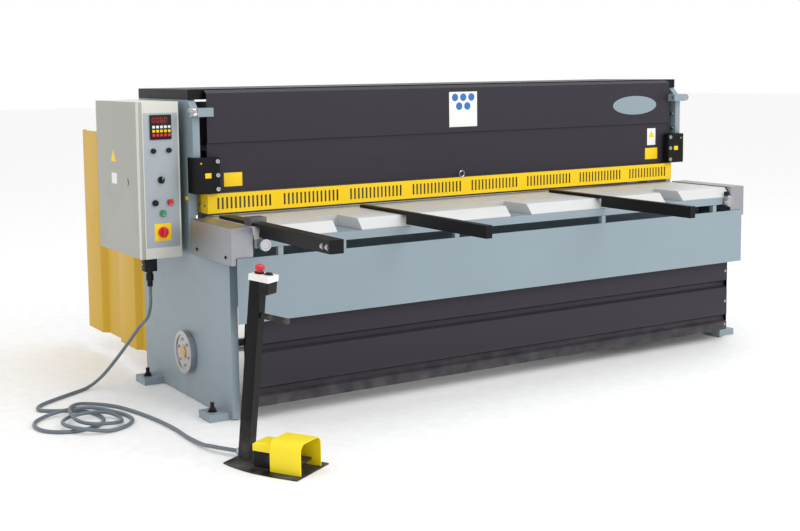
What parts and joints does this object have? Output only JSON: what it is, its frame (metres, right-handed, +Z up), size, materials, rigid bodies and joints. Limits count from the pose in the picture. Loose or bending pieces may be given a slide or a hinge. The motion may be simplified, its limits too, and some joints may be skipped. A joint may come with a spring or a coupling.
{
  "type": "sheet metal guillotine shear",
  "caption": "Power guillotine shear for sheet metal with a slotted finger guard, support arms, side cabinet and a cabled foot switch on a pedestal.",
  "frame": {"origin": "middle of the footprint on the floor, without the cable", "axes": "+X to the operator's right, along the blades; +Y from the operator towards the outlet; +Z up"},
  "size_m": [3.3464, 2.411, 1.241],
  "materials": {
    "pale_blue_paint": "semi-gloss paint",
    "charcoal_paint": "fine textured paint",
    "black_paint": "satin paint",
    "yellow_paint": "semi-gloss paint",
    "ochre_paint": "semi-gloss paint",
    "cream_paint": "fine textured powder coat",
    "door_paint": "fine textured powder coat",
    "ground_steel": "ground",
    "blade_steel": "ground",
    "brushed_steel": "brushed",
    "forged_steel": "machined and oiled",
    "chrome": "polished",
    "rubber": "matt",
    "black_plastic": "moulded",
    "white_plastic": "moulded",
    "red_plastic": "moulded",
    "green_plastic": "moulded",
    "cable_sheath": "satin sheath"
  },
  "bodies": {
    "machine": {"side_frame_left": "pale_blue_paint", "side_frame_right": "pale_blue_paint", "bed": "pale_blue_paint", "table": "ground_steel", "lower_blade": "blade_steel", "finger_guard": "yellow_paint", "guide_block_left": "black_paint", "guide_block_right": "black_paint", "bearing_cap_left": "brushed_steel", "bearing_cap_right": "brushed_steel", "gearbox": "forged_steel", "motor": "pale_blue_paint", "drive_belt": "rubber", "gauge_rail_left": "chrome", "gauge_rail_right": "chrome", "front_panel": "pale_blue_paint", "lower_front_cover": "charcoal_paint", "end_cover_left": "brushed_steel", "end_cover_right": "brushed_steel", "top_cover": "black_paint", "rear_guard_left": "ochre_paint", "rear_guard_right": "ochre_paint", "squaring_arm": "black_paint", "middle_arm": "black_paint", "right_arm": "black_paint", "cabinet_body": "cream_paint", "counter_display": "black_plastic", "cable_connector": "black_plastic", "pedestal_stand": "black_paint", "button_box": "black_plastic", "button_box_lid": "white_plastic", "hand_grip": "rubber", "foot_switch_body": "black_plastic", "foot_switch_hood": "yellow_paint", "pedestal_cable": "cable_sheath"},
    "ram": {"ram_beam": "charcoal_paint", "ram_lower_cover": "charcoal_paint", "ram_upper_cover": "charcoal_paint", "upper_blade": "blade_steel", "connecting_rod_left": "forged_steel", "connecting_rod_right": "forged_steel"},
    "hold_down": {"hold_down_beam": "forged_steel"},
    "crank": {"crankshaft": "blade_steel"},
    "flywheel_wheel": {"flywheel": "forged_steel"},
    "pulley_wheel": {"motor_pulley": "forged_steel"},
    "back_gauge": {"back_gauge_beam": "brushed_steel"},
    "door": {"cabinet_door": "door_paint"},
    "door_lock_barrel": {"door_lock": "chrome"},
    "main_switch": {"main_switch_knob": "red_plastic"},
    "selector": {"mode_selector": "black_plastic"},
    "start_cap": {"start_button": "green_plastic"},
    "stop_cap": {"stop_button": "red_plastic"},
    "stop_mushroom": {"emergency_stop": "red_plastic"},
    "pedestal_cap": {"pedestal_button": "black_plastic"},
    "pedal": {"foot_pedal": "black_paint"},
    "left_gap_screw": {"gap_screw_left": "chrome"},
    "right_gap_screw": {"gap_screw_right": "chrome"},
    "left_lock_pin": {"lock_pin_left": "chrome"},
    "right_lock_pin": {"lock_pin_right": "chrome"},
    "stop_block": {"sliding_stop": "forged_steel"}
  },
  "joints": [
    {"name": "ram_slide", "type": "slide", "parent": "machine", "child": "ram", "axis": [0, 0, -1], "range_m": [0, 0.07]},
    {"name": "hold_down_slide", "type": "slide", "parent": "machine", "child": "hold_down", "axis": [0, 0, -1], "range_m": [0, 0.012]},
    {"name": "crank_turn", "type": "hinge", "parent": "machine", "child": "crank", "pos_m": [0.07919, -0.04084, 0.189], "axis": [1, 0, 0], "range_deg": [0, 180]},
    {"name": "flywheel_spin", "type": "hinge", "parent": "machine", "child": "flywheel_wheel", "pos_m": [0.97619, 0.16516, 0.3], "axis": [1, 0, 0], "continuous": true},
    {"name": "pulley_spin", "type": "hinge", "parent": "machine", "child": "pulley_wheel", "pos_m": [0.97619, 0.30516, 0.53], "axis": [1, 0, 0], "continuous": true},
    {"name": "back_gauge_slide", "type": "slide", "parent": "machine", "child": "back_gauge", "axis": [0, 1, 0], "range_m": [0, 0.5]},
    {"name": "door_hinge", "type": "hinge", "parent": "machine", "child": "door", "pos_m": [-1.41911, 0.40816, 0.889], "axis": [0, 0, -1], "range_deg": [0, 120]},
    {"name": "lock_turn", "type": "hinge", "parent": "door", "child": "door_lock_barrel", "pos_m": [-1.41911, 0.05516, 0.878], "axis": [1, 0, 0], "range_deg": [0, 90]},
    {"name": "main_switch_turn", "type": "hinge", "parent": "machine", "child": "main_switch", "pos_m": [-1.32981, -0.08104, 0.686], "axis": [0, 1, 0], "range_deg": [0, 90]},
    {"name": "selector_turn", "type": "hinge", "parent": "machine", "child": "selector", "pos_m": [-1.33181, -0.08104, 0.891], "axis": [0, 1, 0], "range_deg": [-45, 45]},
    {"name": "start_press", "type": "slide", "parent": "machine", "child": "start_cap", "axis": [0, 1, 0], "range_m": [0, 0.004], "stiffness_N_per_m": 800},
    {"name": "stop_press", "type": "slide", "parent": "machine", "child": "stop_cap", "axis": [0, 1, 0], "range_m": [0, 0.004], "stiffness_N_per_m": 800},
    {"name": "emergency_stop_press", "type": "slide", "parent": "machine", "child": "stop_mushroom", "axis": [-0.0523, 0.0905, -0.9945], "range_m": [0, 0.006]},
    {"name": "pedestal_button_press", "type": "slide", "parent": "machine", "child": "pedestal_cap", "axis": [-0.0523, 0.0905, -0.9945], "range_m": [0, 0.003], "stiffness_N_per_m": 800, "springref_m": -0.0005},
    {"name": "pedal_press", "type": "hinge", "parent": "machine", "child": "pedal", "pos_m": [-1.3164, -1.05954, 0.035], "axis": [0.866, 0.5, 0], "range_deg": [0, 12], "stiffness_Nm_per_rad": 6, "springref_deg": -4.58},
    {"name": "left_gap_screw_turn", "type": "hinge", "parent": "machine", "child": "left_gap_screw", "pos_m": [-1.12481, -0.54514, 0.6735], "axis": [0, 1, 0], "range_deg": [-180, 180]},
    {"name": "right_gap_screw_turn", "type": "hinge", "parent": "machine", "child": "right_gap_screw", "pos_m": [1.28319, -0.54514, 0.6735], "axis": [0, 1, 0], "range_deg": [-180, 180]},
    {"name": "left_lock_pin_pull", "type": "slide", "parent": "machine", "child": "left_lock_pin", "axis": [-1, 0, 0], "range_m": [0, 0.03]},
    {"name": "right_lock_pin_pull", "type": "slide", "parent": "machine", "child": "right_lock_pin", "axis": [1, 0, 0], "range_m": [0, 0.03]},
    {"name": "sliding_stop_slide", "type": "slide", "parent": "machine", "child": "stop_block", "axis": [0, -1, 0], "range_m": [-0.15, 0.5]}
  ],
  "couplings": [
    {"joint": "hold_down_slide", "follows": "ram_slide", "ratio": 0.17143},
    {"joint": "crank_turn", "follows": "ram_slide", "rad_per_m": 44.88},
    {"joint": "pulley_spin", "follows": "flywheel_spin", "ratio": 3}
  ]
}
